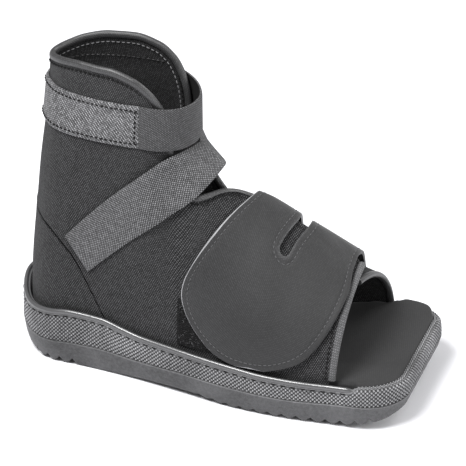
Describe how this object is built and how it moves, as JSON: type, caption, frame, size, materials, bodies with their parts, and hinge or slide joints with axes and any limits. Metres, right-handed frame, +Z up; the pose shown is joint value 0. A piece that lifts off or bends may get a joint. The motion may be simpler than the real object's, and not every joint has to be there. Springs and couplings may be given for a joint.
{
  "type": "cast boot",
  "caption": "Open-toe cast boot with a padded ankle-high upper on a thick moulded sole, a broad forefoot flap and webbing straps, worn over a cast or dressing.",
  "frame": {"origin": "on the floor under the middle of the sole", "axes": "+X from the heel to the toe, +Y to the wearer's left, which is the big toe's side of this right boot, +Z up"},
  "size_m": [0.3, 0.131, 0.2358],
  "materials": {
    "sole": "moulded grey foam rubber with a knurled side band",
    "welt": "smooth satin bead",
    "insole": "dark cloth-faced foam",
    "fabric": "fine knit over thin padding",
    "binding": "folded tape with one line of stitching",
    "webbing": "woven loop webbing",
    "flap": "smooth faced cloth with a cut and stitched edge",
    "patch": "short black pile"
  },
  "bodies": {
    "root": {"outsole": "sole", "welt": "welt", "insole": "insole", "upper_near": "fabric", "upper_far": "fabric", "heel_panel": "fabric", "collar_binding": "binding", "toe_binding_near": "binding", "toe_binding_far": "binding", "forefoot_flap": "flap", "fastening_patch": "patch", "ankle_band": "webbing", "ankle_strap": "webbing", "instep_strap": "webbing"}
  },
  "joints": []
}
